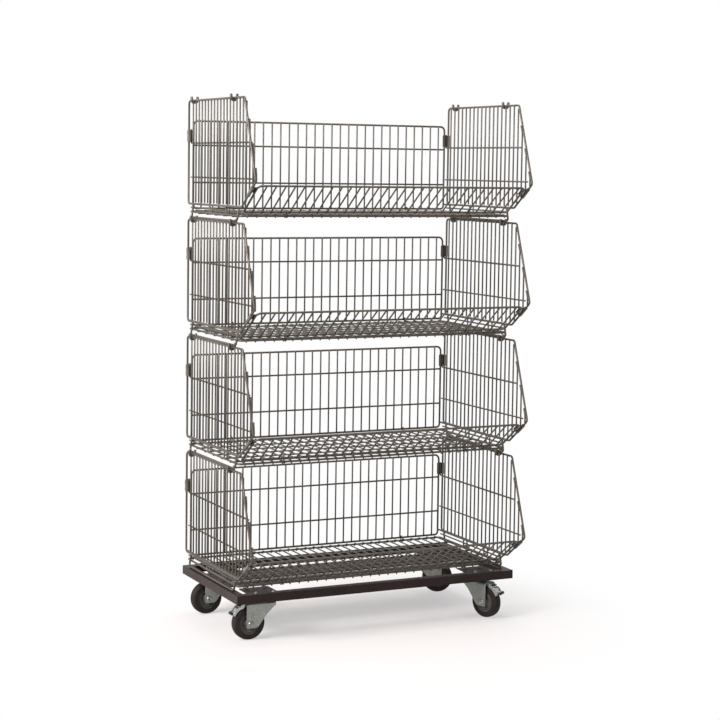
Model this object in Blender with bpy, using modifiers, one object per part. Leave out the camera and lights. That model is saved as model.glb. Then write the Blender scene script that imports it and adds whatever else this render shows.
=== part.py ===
"""Rolling tiered basket stand: four stacking wire baskets on a steel dolly with swivel casters.

Metres, +Z up, +X to the right, the open front of the baskets towards -Y.
The origin is on the floor, under the middle of the stand.
"""
from math import atan2, cos, degrees, hypot, pi, radians, sin, sqrt

import bmesh
import bpy
from mathutils import Matrix, Vector

# Overall sizes
STAND_WIDTH = 0.900          # outside the dolly's side rails
STAND_DEPTH = 0.530          # nose of a basket to the hinge eyes at its back
BASKETS = 4
CLEARANCE = 0.0003           # gap between pieces that touch

# Wires
FRAME_WIRE = 0.0060          # diameter of outlines, rims, rails and runners
FILL_WIRE = 0.0035           # diameter of the wires that fill the panels
BAR_WIRE = 0.0045            # diameter of the back panel's level wires
PRONG_WIRE = 0.0050
LOOP_WIRE = 0.0050

# Dolly
DOLLY_TOP = 0.140
DOLLY_DEPTH = 0.442
DOLLY_BACK_INSET = 0.004     # rear rail in from the back of the stand
RAIL_SIZE = 0.025
RAIL_WALL = 0.003
CORNER_PLATE_WIDTH = 0.090
CORNER_PLATE_DEPTH = 0.100
CORNER_PLATE_WALL = 0.0035
CORNER_PLATE_GAP = 0.022     # between a side rail's flange and the plate

# Casters
WHEEL_RADIUS = 0.048
TYRE_WIDTH = 0.030
TYRE_WALL = 0.0165
TYRE_ROUND = 0.005           # shoulder of the tread
HUB_WIDTH = 0.034
HUB_WEB = 0.016
HUB_BOSS_RADIUS = 0.013
AXLE_RADIUS = 0.006
AXLE_HEAD_RADIUS = 0.010
AXLE_HEAD = 0.005
CASTER_TRAIL = 0.037
CASTER_PLATE_WIDTH = 0.072
CASTER_PLATE_DEPTH = 0.086
CASTER_PLATE_WALL = 0.003
CASTER_PLATE_CORNER = 0.010
FORK_WALL = 0.003
FORK_INSIDE = 0.039          # between the fork's cheeks
FORK_CROWN_GAP = 0.008       # tyre to crown
FORK_BACK = 0.013            # cheek's upright edge, past the axle
FORK_FRONT = 0.044           # crown's end, past the swivel axis
SWIVEL_RADIUS = 0.030
PEDAL_LENGTH = 0.030
PEDAL_WALL = 0.0025
PEDAL_SLOPE = 10.0           # degrees below level
PEDAL_PAD = 0.028
PEDAL_PAD_SLOPE = 58.0       # the pad bends down round the tyre
PEDAL_HEEL = 0.004           # behind the pivot
PEDAL_PIVOT_DROP = 0.0045    # below the crown
PEDAL_PIVOT_INSET = 0.007    # in from the cheek's upright edge
PEDAL_TRAVEL = 5.0           # degrees
CASTERS = {                  # side, end, direction of the trail from +X, brake
    "left_front": (-1, -1, 180.0, True),
    "right_front": (1, -1, -70.0, True),
    "left_rear": (-1, 1, 184.0, False),
    "right_rear": (1, 1, -25.0, False),
}

# Side panels
RUNNER_INSET = 0.010         # panel plane in from the outside of the dolly
SIDE_HEIGHT = 0.3054         # bottom rail to top wire
SIDE_TOP_DEPTH = 0.437
SIDE_BOTTOM_DEPTH = 0.420
NOSE_HEIGHT = 0.072          # above the bottom rail
SIDE_BARS = (0.079, 0.180)   # heights of the two level wires
SIDE_PITCH = 0.0245
SIDE_CORNER = 0.010
NOSE_CUT = 0.15              # share of the corner radius that rounding takes off the nose
PRONG_HEIGHT = 0.0167        # above the top wire's middle
PRONG_SPREAD = 0.014
PRONG_BACK = 0.045           # saddle's distance from the back wire
PRONG_FRONT = 0.080          # saddle's distance from the top wire's front end

# Floor
FLOOR_DROP = 0.022           # below the side panels' bottom rail
RIM_OFFSET = 0.0062          # raised rim beside the bottom rail
RUNNER_DROP = 0.040          # runner below the rim
RUNNER_BACK = 0.027          # runner's end, in from the back wire
RUNNER_FRONT = 0.034         # runner's end, in from the bottom rail's front end
RUNNER_CORNER = 0.010
FLOOR_PITCH = 0.0287
FLOOR_BARS = 5
LOOP_SPAN = 0.022            # legs of one hinge loop
LOOP_PLACES = (0.170, 0.300) # in from the back wire

# Back panel and front lip
PANEL_SIDE_GAP = 0.0145      # their end wires in from the side panels
BACK_HEIGHT = 0.2466         # top wire above the side panels' bottom rail
BACK_BARS = (0.063, 0.174)
BACK_PITCH = 0.0287
BACK_CORNER = 0.014
LIP_SHARE = 0.76             # how far up the lower front edge the lip reaches
LIP_PITCH = 0.0287
LIP_CORNER = 0.012
HINGE_RISE = 0.008           # hinge wire above the floor's edge wire
EYE_WIRE = 0.0030
EYE_BORE = 0.0042            # inside radius of a hinge eye
EYE_PITCHES = 10.5           # eye's place, in wire pitches from the middle

# Clips
CLIP_LENGTH = 0.036
CLIP_WALL = 0.0015

# Worked out from the above
FRAME_HALF = FRAME_WIRE * sqrt(pi) / 4
EYE_HALF = EYE_WIRE * sqrt(pi) / 4
EYE_RADIUS = EYE_BORE / cos(pi / 6) + EYE_HALF
PANEL_X = STAND_WIDTH / 2 - RUNNER_INSET
BACK_Y = STAND_DEPTH / 2 - EYE_RADIUS - EYE_HALF
NOSE_Y = -STAND_DEPTH / 2 + FRAME_HALF - NOSE_CUT * SIDE_CORNER
TOP_FRONT_Y = BACK_Y - SIDE_TOP_DEPTH
BOTTOM_FRONT_Y = BACK_Y - SIDE_BOTTOM_DEPTH
RIM_X = PANEL_X - RIM_OFFSET
PANEL_HALF = PANEL_X - PANEL_SIDE_GAP
HINGE_Z = HINGE_RISE - FLOOR_DROP
EDGE_RUN = Vector((NOSE_Y - BOTTOM_FRONT_Y, NOSE_HEIGHT))
LIP_HINGE_Y = BOTTOM_FRONT_Y + HINGE_Z * EDGE_RUN.x / EDGE_RUN.y
LIP_LENGTH = EDGE_RUN.length * (LIP_SHARE - HINGE_Z / NOSE_HEIGHT)
LIP_TILT = atan2(EDGE_RUN.y, -EDGE_RUN.x)
RUNNER_LEAN = atan2(RIM_OFFSET, RUNNER_DROP)
RUNNER_LOW = FRAME_HALF * (cos(RUNNER_LEAN) + sin(RUNNER_LEAN))
FIRST_RAIL_Z = DOLLY_TOP + CLEARANCE + RUNNER_LOW + RUNNER_DROP
STACK_PITCH = SIDE_HEIGHT + FRAME_HALF + CLEARANCE + RUNNER_LOW + RUNNER_DROP
DOLLY_BACK = STAND_DEPTH / 2 - DOLLY_BACK_INSET
DOLLY_FRONT = DOLLY_BACK - DOLLY_DEPTH
AXLE_BORE = (AXLE_RADIUS + CLEARANCE) / cos(pi / 10)
CORNER_PLATE_TOP = DOLLY_TOP - RAIL_WALL - CLEARANCE
CASTER_PLATE_TOP = CORNER_PLATE_TOP - CORNER_PLATE_WALL - CLEARANCE
FORK_TOP = CASTER_PLATE_TOP - CASTER_PLATE_WALL - CLEARANCE
FORK_CROWN = 2 * WHEEL_RADIUS + FORK_CROWN_GAP
CORNER_PLATE_X = STAND_WIDTH / 2 - RAIL_SIZE - CORNER_PLATE_GAP - CORNER_PLATE_WIDTH / 2
PLATE_END_INSET = RAIL_WALL + CLEARANCE + CORNER_PLATE_DEPTH / 2

# Scene
for old in list(bpy.data.objects):
    bpy.data.objects.remove(old, do_unlink=True)
STAND = bpy.data.collections.new("rolling_basket_stand")
bpy.context.scene.collection.children.link(STAND)


def material(name, colour, metallic, roughness):
    made = bpy.data.materials.new(name)
    made.use_nodes = True
    shader = made.node_tree.nodes["Principled BSDF"]
    shader.inputs["Base Color"].default_value = (*colour, 1.0)
    shader.inputs["Metallic"].default_value = metallic
    shader.inputs["Roughness"].default_value = roughness
    return made


WIRE = material("zinc_wire", (0.33, 0.31, 0.29), 0.9, 0.38)
PAINT = material("dolly_paint", (0.045, 0.034, 0.032), 0.0, 0.45)
ZINC = material("zinc_plate", (0.47, 0.49, 0.47), 0.9, 0.36)
RUBBER = material("tyre_rubber", (0.030, 0.025, 0.024), 0.0, 0.70)
PLASTIC = material("hub_plastic", (0.085, 0.078, 0.075), 0.0, 0.50)


def add(name, mesh, look, place=None, parent=None, smooth=False):
    """Put a finished mesh into the stand's collection as one named piece."""
    piece = bpy.data.objects.new(name, mesh)
    STAND.objects.link(piece)
    if not mesh.materials:
        mesh.materials.append(look)
    if smooth:
        mesh.shade_smooth()
        mesh.set_sharp_from_angle(angle=radians(35))
    if place is not None:
        piece.matrix_basis = place
    piece.parent = parent
    return piece


def empty(name, place, parent=None):
    made = bpy.data.objects.new(name, None)
    STAND.objects.link(made)
    made.matrix_basis = place
    made.parent = parent
    return made


def to_mesh(thing):
    """Evaluate a curve or a modified object, weld its caps and hand back a plain mesh."""
    bpy.context.view_layer.update()
    graph = bpy.context.evaluated_depsgraph_get()
    mesh = bpy.data.meshes.new_from_object(thing.evaluated_get(graph))
    mesh.transform(thing.matrix_world)
    bm = bmesh.new()
    bm.from_mesh(mesh)
    bmesh.ops.remove_doubles(bm, verts=bm.verts, dist=1e-6)
    bmesh.ops.recalc_face_normals(bm, faces=bm.faces)
    bm.to_mesh(mesh)
    bm.free()
    mesh.materials.clear()
    bpy.data.objects.remove(thing, do_unlink=True)
    return mesh


def rounded(points, radius, steps=2):
    """A closed outline with its corners turned into short arcs."""
    out = []
    for i, here in enumerate(points):
        before = (points[i - 1] - here).normalized()
        after = (points[(i + 1) % len(points)] - here).normalized()
        half = before.angle(after) / 2
        middle = here + (before + after).normalized() * radius / sin(half)
        start = here + before * radius / (sin(half) / cos(half)) - middle
        turn = pi - 2 * half
        side = 1 if before.x * after.y - before.y * after.x < 0 else -1
        for k in range(steps + 1):
            angle = side * turn * k / steps
            out.append(middle + Matrix.Rotation(angle, 2) @ start)
    return out


def wire_path(points, half, place, closed):
    """A square-section wire along a path in the local XY plane, flat sides in that plane."""
    curve = bpy.data.curves.new("path", "CURVE")
    curve.dimensions = "3D"
    curve.twist_mode = "Z_UP"
    curve.bevel_depth = half * sqrt(2)
    curve.bevel_resolution = 0
    curve.use_fill_caps = not closed
    spline = curve.splines.new("POLY")
    spline.points.add(len(points) - 1)
    for point, at in zip(spline.points, points):
        point.co = (at.x, at.y, 0.0, 1.0)
        point.tilt = pi / 4
    spline.use_cyclic_u = closed
    thing = bpy.data.objects.new("path", curve)
    STAND.objects.link(thing)
    thing.matrix_basis = place
    return to_mesh(thing)


def fill_wires(runs, normal, layer, width):
    """Three-sided wires laid on one side of a panel's middle plane, all in one mesh."""
    bm = bmesh.new()
    depth = FRAME_HALF - CLEARANCE
    radius = depth / 1.5
    apex = -layer * normal
    for start, end in runs:
        along = (end - start).normalized()
        across = apex.cross(along) * (width / (radius * sqrt(3)))
        centre = (start + end) / 2 - apex * (radius + CLEARANCE / 2)
        place = Matrix((across, apex, along)).transposed().to_4x4()
        place.translation = centre
        bmesh.ops.create_cone(bm, segments=3, radius1=radius, radius2=radius,
                              depth=(end - start).length, cap_ends=True, matrix=place)
    bmesh.ops.recalc_face_normals(bm, faces=bm.faces)
    mesh = bpy.data.meshes.new("fill")
    bm.to_mesh(mesh)
    bm.free()
    return mesh


def boxes(sizes_and_places):
    """Several boxes that don't touch, in one mesh."""
    bm = bmesh.new()
    for size, place in sizes_and_places:
        bmesh.ops.create_cube(bm, size=1.0, matrix=place @ Matrix.Diagonal((*size, 1.0)))
    mesh = bpy.data.meshes.new("boxes")
    bm.to_mesh(mesh)
    bm.free()
    return mesh


def together(meshes):
    """Meshes that don't touch, gathered into one."""
    bm = bmesh.new()
    for mesh in meshes:
        bm.from_mesh(mesh)
        bpy.data.meshes.remove(mesh)
    mesh = bpy.data.meshes.new("group")
    bm.to_mesh(mesh)
    bm.free()
    return mesh


def combined(base, others, operation="UNION"):
    """Weld each further mesh onto the first, or cut it away."""
    body = bpy.data.objects.new("body", base)
    STAND.objects.link(body)
    tools = []
    for other in others:
        tool = bpy.data.objects.new("tool", other)
        STAND.objects.link(tool)
        tools.append(tool)
        step = body.modifiers.new("step", "BOOLEAN")
        step.operation = operation
        step.solver = "EXACT"
        step.object = tool
    mesh = to_mesh(body)
    for tool in tools:
        bpy.data.objects.remove(tool, do_unlink=True)
    return mesh


def plane(origin, first, second):
    """Local XY plane through a point, along two directions at right angles."""
    first = Vector(first).normalized()
    second = Vector(second).normalized()
    place = Matrix((first, second, first.cross(second))).transposed().to_4x4()
    place.translation = origin
    return place


def flat(outline, thickness, place):
    """A closed flat outline, extruded to both sides of its plane."""
    curve = bpy.data.curves.new("outline", "CURVE")
    curve.dimensions = "2D"
    curve.fill_mode = "BOTH"
    curve.extrude = thickness / 2
    spline = curve.splines.new("POLY")
    spline.points.add(len(outline) - 1)
    for point, at in zip(spline.points, outline):
        point.co = (at[0], at[1], 0.0, 1.0)
    spline.use_cyclic_u = True
    thing = bpy.data.objects.new("outline", curve)
    STAND.objects.link(thing)
    thing.matrix_basis = place
    return to_mesh(thing)


def turned(profile, steps, place, closed):
    """A profile of (radius, height) points turned about the local Z axis."""
    bm = bmesh.new()
    corners = [bm.verts.new((r, 0.0, z)) for r, z in profile]
    pairs = list(zip(corners, corners[1:]))
    if closed:
        pairs.append((corners[-1], corners[0]))
    for a, b in pairs:
        bm.edges.new((a, b))
    mesh = bpy.data.meshes.new("profile")
    bm.to_mesh(mesh)
    bm.free()
    thing = bpy.data.objects.new("profile", mesh)
    STAND.objects.link(thing)
    thing.matrix_basis = place
    screw = thing.modifiers.new("turn", "SCREW")
    screw.axis = "Z"
    screw.steps = steps
    screw.render_steps = steps
    screw.use_merge_vertices = True
    screw.merge_threshold = 1e-6
    screw.use_smooth_shade = False
    return to_mesh(thing)


# Dolly rails: angle bars with the flange on top, mitred at the corners
def angle_bar(length, place):
    outline = [(0, 0), (RAIL_SIZE, 0), (RAIL_SIZE, -RAIL_WALL), (RAIL_WALL, -RAIL_WALL),
               (RAIL_WALL, -RAIL_SIZE), (0, -RAIL_SIZE)]
    upright = plane((0, 0, 0), (0, 1, 0), (0, 0, 1))
    mesh = flat(outline, length, upright)
    bm = bmesh.new()
    bm.from_mesh(mesh)
    for end in (-1, 1):
        corner = Vector((end * (length / 2 - CLEARANCE / sqrt(2)), 0, 0))
        cut = bmesh.ops.bisect_plane(bm, geom=bm.verts[:] + bm.edges[:] + bm.faces[:], dist=1e-7,
                                     plane_co=corner, plane_no=(end, 1, 0), clear_outer=True)
        rim = [item for item in cut["geom_cut"] if isinstance(item, bmesh.types.BMEdge)]
        bmesh.ops.holes_fill(bm, edges=rim, sides=0)
    bmesh.ops.recalc_face_normals(bm, faces=bm.faces)
    bm.to_mesh(mesh)
    bm.free()
    mesh.transform(place)
    return mesh


def quarter_turned(x, y, turns):
    return Matrix.Translation((x, y, DOLLY_TOP)) @ Matrix.Rotation(turns * pi / 2, 4, "Z")


DOLLY_MIDDLE = (DOLLY_FRONT + DOLLY_BACK) / 2
add("dolly_rail_front", angle_bar(STAND_WIDTH, quarter_turned(0, DOLLY_FRONT, 0)), PAINT)
add("dolly_rail_right", angle_bar(DOLLY_DEPTH, quarter_turned(STAND_WIDTH / 2, DOLLY_MIDDLE, 1)), PAINT)
add("dolly_rail_rear", angle_bar(STAND_WIDTH, quarter_turned(0, DOLLY_BACK, 2)), PAINT)
add("dolly_rail_left", angle_bar(DOLLY_DEPTH, quarter_turned(-STAND_WIDTH / 2, DOLLY_MIDDLE, 3)), PAINT)


# Casters
def square_outline(width, depth, corner):
    points = [Vector((x * width / 2, y * depth / 2)) for x, y in ((-1, -1), (1, -1), (1, 1), (-1, 1))]
    return rounded(points, corner)


def fork_mesh():
    """Two cheeks under a crown with the swivel head; X runs along the trail, origin on the floor."""
    edge = CASTER_TRAIL + FORK_BACK
    boss = FORK_BACK + FORK_WALL
    low = WHEEL_RADIUS - boss
    crown_low = FORK_CROWN
    crown_top = FORK_CROWN + FORK_WALL
    cheek = [(edge, crown_top), (edge, WHEEL_RADIUS)]
    for k in range(1, 5):
        angle = -pi * k / 6
        cheek.append((CASTER_TRAIL + FORK_BACK * cos(angle), WHEEL_RADIUS + boss * sin(angle)))
    cheek += [(-FORK_FRONT, crown_low - FORK_WALL), (-FORK_FRONT, crown_top)]
    upright = (1, 0, 0), (0, 0, 1)
    reach = FORK_INSIDE / 2 + FORK_WALL / 2
    cheeks = [flat(cheek, FORK_WALL, plane((0, side * reach, 0), *upright)) for side in (-1, 1)]
    middle = ((edge - FORK_FRONT) / 2, 0, (crown_low + crown_top) / 2)
    crown = boxes([((edge + FORK_FRONT - FORK_WALL, FORK_INSIDE + FORK_WALL, FORK_WALL * 0.8),
                    Matrix.Translation(middle))])
    head = [(0, FORK_TOP), (SWIVEL_RADIUS * 0.72, FORK_TOP), (SWIVEL_RADIUS, FORK_TOP - FORK_WALL),
            (SWIVEL_RADIUS * 0.8, crown_top - FORK_WALL / 2), (0, crown_top - FORK_WALL / 2)]
    swivel = turned(head, 12, Matrix.Identity(4), False)
    bores = bmesh.new()
    lying = Matrix.Translation((CASTER_TRAIL, 0, WHEEL_RADIUS)) @ Matrix.Rotation(pi / 2, 4, "X")
    bmesh.ops.create_cone(bores, segments=10, radius1=AXLE_BORE,
                          radius2=AXLE_BORE, depth=2 * FORK_INSIDE, cap_ends=True, matrix=lying)
    bore = bpy.data.meshes.new("bore")
    bores.to_mesh(bore)
    bores.free()
    body = combined(together(cheeks), [crown, swivel])
    return combined(body, [bore], "DIFFERENCE")


def wheel_place(x=0.0, z=0.0):
    """Turned pieces lie along the axle, across the trail."""
    return Matrix.Translation((x, 0, z)) @ Matrix.Rotation(pi / 2, 4, "X")


def tyre_mesh():
    half = TYRE_WIDTH / 2
    inner = WHEEL_RADIUS - TYRE_WALL
    profile = [(inner, half - TYRE_ROUND / 4), (WHEEL_RADIUS - TYRE_ROUND, half), (WHEEL_RADIUS, half - TYRE_ROUND)]
    profile += [(r, -z) for r, z in reversed(profile)]
    return turned(profile, 24, wheel_place(), True)


def hub_mesh():
    half = HUB_WIDTH / 2
    bore = AXLE_BORE
    rim = WHEEL_RADIUS - TYRE_WALL - CLEARANCE
    web = HUB_WEB / 2
    profile = [(bore, half), (HUB_BOSS_RADIUS, half), (HUB_BOSS_RADIUS, web), (rim, TYRE_WIDTH / 2 - TYRE_ROUND / 2)]
    profile += [(r, -z) for r, z in reversed(profile)]
    return turned(profile, 16, wheel_place(), True)


def axle_mesh():
    inside = FORK_INSIDE / 2 + FORK_WALL + CLEARANCE
    outside = inside + AXLE_HEAD
    profile = [(0, outside), (AXLE_HEAD_RADIUS, outside), (AXLE_HEAD_RADIUS, inside), (AXLE_RADIUS, inside)]
    profile += [(r, -z) for r, z in reversed(profile)]
    return turned(profile, 10, wheel_place(), False)


PEDAL_PIVOT = Vector((CASTER_TRAIL + FORK_BACK - PEDAL_PIVOT_INSET, 0.0, FORK_CROWN - PEDAL_PIVOT_DROP))


def pedal_mesh():
    """A lever between the cheeks whose pad bends down round the tyre; origin on its pivot."""
    slopes = [radians(PEDAL_SLOPE), radians(PEDAL_PAD_SLOPE)]
    arm, pad = [Vector((cos(a), -sin(a))) for a in slopes]
    arm_up, pad_up = [Vector((sin(a), cos(a))) * PEDAL_WALL / 2 for a in slopes]
    mitre = (arm_up + pad_up) / (1 + arm.dot(pad))
    bend = arm * PEDAL_LENGTH
    middle = [-arm * PEDAL_HEEL, bend, bend + pad * PEDAL_PAD]
    lift = [arm_up, mitre, pad_up]
    outline = [p - n for p, n in zip(middle, lift)] + [p + n for p, n in reversed(list(zip(middle, lift)))]
    return flat(outline, FORK_INSIDE - 2 * CLEARANCE, plane((0, 0, 0), (1, 0, 0), (0, 0, 1)))


def caster(label, side, end, trail, brake):
    axis_x = side * CORNER_PLATE_X
    axis_y = DOLLY_FRONT + PLATE_END_INSET if end < 0 else DOLLY_BACK - PLATE_END_INSET
    corner = boxes([((CORNER_PLATE_WIDTH, CORNER_PLATE_DEPTH, CORNER_PLATE_WALL),
                     Matrix.Translation((axis_x, axis_y, CORNER_PLATE_TOP - CORNER_PLATE_WALL / 2)))])
    add("dolly_corner_plate_" + label, corner, PAINT)
    outline = square_outline(CASTER_PLATE_WIDTH, CASTER_PLATE_DEPTH, CASTER_PLATE_CORNER)
    level = Matrix.Translation((axis_x, axis_y, CASTER_PLATE_TOP - CASTER_PLATE_WALL / 2))
    add("caster_" + label + "_plate", flat(outline, CASTER_PLATE_WALL, level), ZINC)
    swivel = empty("caster_" + label + "_swivel",
                   Matrix.Translation((axis_x, axis_y, 0)) @ Matrix.Rotation(radians(trail), 4, "Z"))
    add("caster_" + label + "_fork", fork_mesh(), ZINC, parent=swivel, smooth=True)
    axle = Matrix.Translation((CASTER_TRAIL, 0, WHEEL_RADIUS))
    add("caster_" + label + "_axle", axle_mesh(), ZINC, axle, swivel, True)
    add("caster_" + label + "_hub", hub_mesh(), PLASTIC, axle, swivel, True)
    add("caster_" + label + "_tyre", tyre_mesh(), RUBBER, axle, swivel, True)
    if brake:
        add("caster_" + label + "_pedal", pedal_mesh(), ZINC, Matrix.Translation(PEDAL_PIVOT), swivel)


for caster_label, settings in CASTERS.items():
    caster(caster_label, *settings)


# Side panels, in the basket's frame: origin in the middle, at the height of the bottom rail
SIDE_OUTLINE = [Vector(p) for p in ((BACK_Y, 0.0), (BACK_Y, SIDE_HEIGHT), (TOP_FRONT_Y, SIDE_HEIGHT),
                                    (NOSE_Y, NOSE_HEIGHT), (BOTTOM_FRONT_Y, 0.0))]


def between(a, b, value, axis):
    """Where the edge from a to b passes a given value of one coordinate."""
    return a.lerp(b, (value - a[axis]) / (b[axis] - a[axis]))


def side_mesh(side):
    """One end wall: outline, upright wires, level bars, prong saddles and the lip's clip."""
    back_low, back_top, top_front, nose, bottom_front = SIDE_OUTLINE
    upright = plane((side * PANEL_X, 0, 0), (0, 1, 0), (0, 0, 1))
    frame = wire_path(rounded(SIDE_OUTLINE, SIDE_CORNER), FRAME_HALF, upright, True)
    outwards = Vector((side, 0, 0))
    uprights = []
    for k in range(1, int((BACK_Y - NOSE_Y) / SIDE_PITCH)):
        y = BACK_Y - k * SIDE_PITCH
        low = 0.0 if y > BOTTOM_FRONT_Y else between(bottom_front, nose, y, 0).y
        high = SIDE_HEIGHT if y > TOP_FRONT_Y else between(top_front, nose, y, 0).y
        if high - low > SIDE_PITCH:
            uprights.append((Vector((side * PANEL_X, y, low)), Vector((side * PANEL_X, y, high))))
    bars = []
    for z in SIDE_BARS:
        front = between(nose, top_front, z, 1) if z > NOSE_HEIGHT else between(bottom_front, nose, z, 1)
        bars.append((Vector((side * PANEL_X, front.x, z)), Vector((side * PANEL_X, BACK_Y, z))))
    saddles = []
    half = PRONG_WIRE * sqrt(pi) / 4
    reach = PRONG_SPREAD / 2
    bend = half
    for y in (BACK_Y - PRONG_BACK, TOP_FRONT_Y + PRONG_FRONT):
        across = plane((side * PANEL_X, y, SIDE_HEIGHT), (1, 0, 0), (0, 0, 1))
        path = [Vector(p) for p in ((-reach, PRONG_HEIGHT), (-reach, bend), (bend - reach, 0),
                                    (reach - bend, 0), (reach, bend), (reach, PRONG_HEIGHT))]
        saddles.append(wire_path(path, half, across, False))
    sleeve, tongue = lip_clip(side)
    return combined(frame, [fill_wires(uprights, outwards, 1, FILL_WIRE),
                            fill_wires(bars, outwards, -1, FILL_WIRE), together(saddles), sleeve, tongue])


def lip_clip(side):
    """Sleeve round the lower front edge, and its tongue in front of the lip's end wire."""
    along = Vector((0, EDGE_RUN.x, EDGE_RUN.y)).normalized()
    front = Vector((1, 0, 0)).cross(along) * -1
    if front.z > 0:
        front = -front
    place = Matrix((Vector((1, 0, 0)), along, front)).transposed().to_4x4()
    middle = Vector((side * PANEL_X, BOTTOM_FRONT_Y, 0)) + along * (EDGE_RUN.length * LIP_SHARE - CLIP_LENGTH)
    grip = FRAME_HALF + CLIP_WALL + 2 * CLEARANCE
    sleeve_at = place.copy()
    sleeve_at.translation = middle
    reach = PANEL_SIDE_GAP + FRAME_HALF
    tongue_at = place.copy()
    tongue_at.translation = (middle - Vector((side * reach / 2, 0, 0))
                             + front * (FRAME_HALF + CLEARANCE + CLIP_WALL / 2))
    return (boxes([((2 * grip, CLIP_LENGTH, 2 * grip), sleeve_at)]),
            boxes([((reach, CLIP_LENGTH * 0.9, CLIP_WALL), tongue_at)]))


def pattern(pitch, half):
    """Even places from the middle outwards that stay clear of the end wires."""
    count = int((half - pitch / 2) / pitch)
    return [k * pitch for k in range(-count, count + 1)]


def floor_mesh():
    """Ring, lengthwise wires, cross bars, hinge eyes, and a rim and runner loop on each side."""
    corners = [Vector(p) for p in ((-RIM_X, LIP_HINGE_Y), (RIM_X, LIP_HINGE_Y), (RIM_X, BACK_Y), (-RIM_X, BACK_Y))]
    low = Vector((0, 0, -FLOOR_DROP))
    ring = wire_path(rounded(corners, RUNNER_CORNER, 1), FRAME_HALF, plane(low, (1, 0, 0), (0, 1, 0)), True)
    up = Vector((0, 0, 1))
    lengthwise = [(Vector((x, LIP_HINGE_Y, -FLOOR_DROP)), Vector((x, BACK_Y, -FLOOR_DROP)))
                  for x in pattern(FLOOR_PITCH, RIM_X)]
    step = (BACK_Y - LIP_HINGE_Y) / (FLOOR_BARS + 1)
    across = [(Vector((-RIM_X, LIP_HINGE_Y + k * step, -FLOOR_DROP)),
               Vector((RIM_X, LIP_HINGE_Y + k * step, -FLOOR_DROP))) for k in range(1, FLOOR_BARS + 1)]
    legs = []
    loops = []
    leg = LOOP_WIRE * sqrt(pi) / 2
    tilt = Vector((RIM_OFFSET, 0, -RUNNER_DROP))
    for side in (-1, 1):
        for place in LOOP_PLACES:
            for shift in (-LOOP_SPAN / 2, LOOP_SPAN / 2):
                middle = (side * RIM_X, BACK_Y - place + shift, -FLOOR_DROP / 2)
                legs.append(((leg, leg, FLOOR_DROP), Matrix.Translation(middle)))
        front = BOTTOM_FRONT_Y + RUNNER_FRONT
        back = BACK_Y - RUNNER_BACK
        drop = Vector((side * tilt.x, 0, tilt.z))
        outline = [Vector(p) for p in ((front, 0), (back, 0), (back, drop.length), (front, drop.length))]
        slanted = plane((side * RIM_X, 0, 0), (0, 1, 0), drop)
        loops.append(wire_path(rounded(outline, RUNNER_CORNER), FRAME_HALF, slanted, True))
    eyes = []
    hexagon = [Vector((cos(k * pi / 3), sin(k * pi / 3))) * EYE_RADIUS for k in range(6)]
    for y, pitch in ((BACK_Y, BACK_PITCH), (LIP_HINGE_Y, LIP_PITCH)):
        for side in (-1, 1):
            around = plane((side * EYE_PITCHES * pitch, y, HINGE_Z), (0, 0, 1), (0, 1, 0))
            eyes.append(wire_path(hexagon, EYE_HALF, around, True))
    return combined(ring, [fill_wires(lengthwise, up, 1, FILL_WIRE), fill_wires(across, up, -1, FILL_WIRE),
                           boxes(legs), together(loops), together(eyes)])


def grid_mesh(height, pitch, bars, top_corner, foot_corner):
    """A framed panel standing on its hinge wire; origin on the hinge, X along it, Z up the panel."""
    corners = [Vector(p) for p in ((-PANEL_HALF, 0), (PANEL_HALF, 0), (PANEL_HALF, height), (-PANEL_HALF, height))]
    outline = rounded(corners[:2] + corners[2:], foot_corner)
    quarter = len(outline) // 4
    top = rounded(corners, top_corner)
    outline = outline[:2 * quarter] + top[2 * quarter:]
    upright = plane((0, 0, 0), (1, 0, 0), (0, 0, 1))
    frame = wire_path(outline, FRAME_HALF, upright, True)
    normal = Vector((0, -1, 0))
    uprights = [(Vector((x, 0, 0)), Vector((x, 0, height))) for x in pattern(pitch, PANEL_HALF)]
    parts = [fill_wires(uprights, normal, 1, FILL_WIRE)]
    if bars:
        runs = [(Vector((-PANEL_HALF, 0, z)), Vector((PANEL_HALF, 0, z))) for z in bars]
        parts.append(fill_wires(runs, normal, -1, BAR_WIRE))
    return combined(frame, parts)


def clip_mesh(side):
    """Spring clip round a side panel's back wire, with a tongue behind the back panel's end wire."""
    near = FRAME_HALF + CLEARANCE
    far = near + CLIP_WALL
    reach = PANEL_SIDE_GAP + FRAME_HALF
    outline = [(-far, -far), (FRAME_HALF, -far), (FRAME_HALF, -near), (-near, -near),
               (-near, near), (reach, near), (reach, far), (-far, far)]
    outline = [(-side * a, b) for a, b in outline]
    return flat(outline, CLIP_LENGTH, Matrix.Identity(4))


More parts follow.
